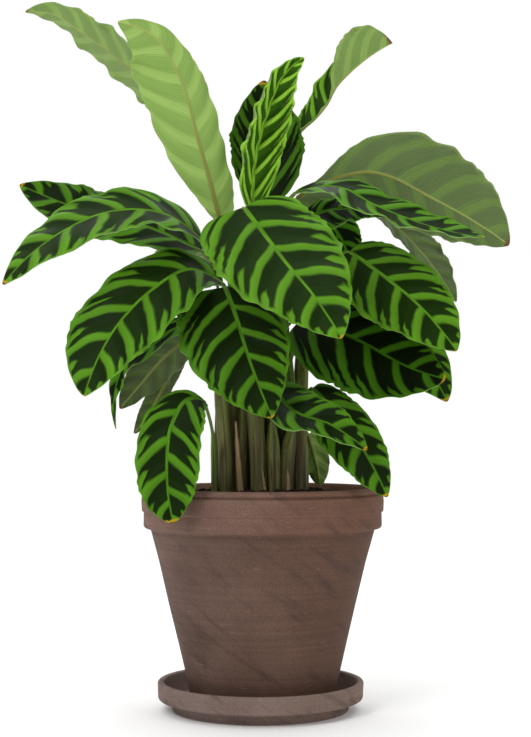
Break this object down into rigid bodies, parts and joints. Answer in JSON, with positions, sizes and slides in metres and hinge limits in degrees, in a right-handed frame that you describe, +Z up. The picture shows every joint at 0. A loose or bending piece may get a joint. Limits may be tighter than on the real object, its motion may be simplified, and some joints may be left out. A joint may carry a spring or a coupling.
{
  "type": "potted calathea zebrina",
  "caption": "Prayer plant with striped oval leaves on sheathing stalks, growing in a tapered clay pot with a thick rim on a round clay saucer.",
  "frame": {"origin": "on the flat underside of the saucer, below the axis of the pot", "axes": "+Z up along the pot's axis, -Y to the front, +X to the right of someone facing it"},
  "size_m": [0.495, 0.3881, 0.7257],
  "materials": {
    "leaf": "satin",
    "stalk": "satin",
    "pot_clay": "matte",
    "saucer_clay": "matte",
    "potting_soil": "matte"
  },
  "bodies": {
    "root": {"pot": "pot_clay", "saucer": "saucer_clay", "soil": "potting_soil", "blade_far_left_high": "leaf", "stem_far_left_high": "stalk", "blade_tall_pale": "leaf", "stem_tall_pale": "stalk", "blade_upright_dark": "leaf", "stem_upright_dark": "stalk", "blade_young_folded": "leaf", "stem_young_folded": "stalk", "blade_twisted_high": "leaf", "stem_twisted_high": "stalk", "blade_right_wide": "leaf", "stem_right_wide": "stalk", "blade_right_narrow": "leaf", "stem_right_narrow": "stalk", "blade_right_dark_short": "leaf", "stem_right_dark_short": "stalk", "blade_right_small_hidden": "leaf", "stem_right_small_hidden": "stalk", "blade_front_centre": "leaf", "stem_front_centre": "stalk", "blade_right_front": "leaf", "stem_right_front": "stalk", "blade_right_slim_back": "leaf", "stem_right_slim_back": "stalk", "blade_right_low_dark": "leaf", "stem_right_low_dark": "stalk", "blade_right_low_back": "leaf", "stem_right_low_back": "stalk", "blade_left_low_wide": "leaf", "stem_left_low_wide": "stalk", "blade_front_left_low": "leaf", "stem_front_left_low": "stalk", "blade_left_arching": "leaf", "stem_left_arching": "stalk", "blade_left_back": "leaf", "stem_left_back": "stalk", "blade_left_shaded_drooping": "leaf", "stem_left_shaded_drooping": "stalk", "blade_left_hanging": "leaf", "stem_left_hanging": "stalk", "blade_left_inner_hanging": "leaf", "stem_left_inner_hanging": "stalk", "blade_over_rim_left": "leaf", "stem_over_rim_left": "stalk", "blade_low_centre": "leaf", "stem_low_centre": "stalk", "blade_low_right": "leaf", "stem_low_right": "stalk", "blade_inside_drooping": "leaf", "stem_inside_drooping": "stalk", "blade_back_left": "leaf", "stem_back_left": "stalk", "blade_back_centre": "leaf", "stem_back_centre": "stalk", "blade_back_right": "leaf", "stem_back_right": "stalk"}
  },
  "joints": []
}
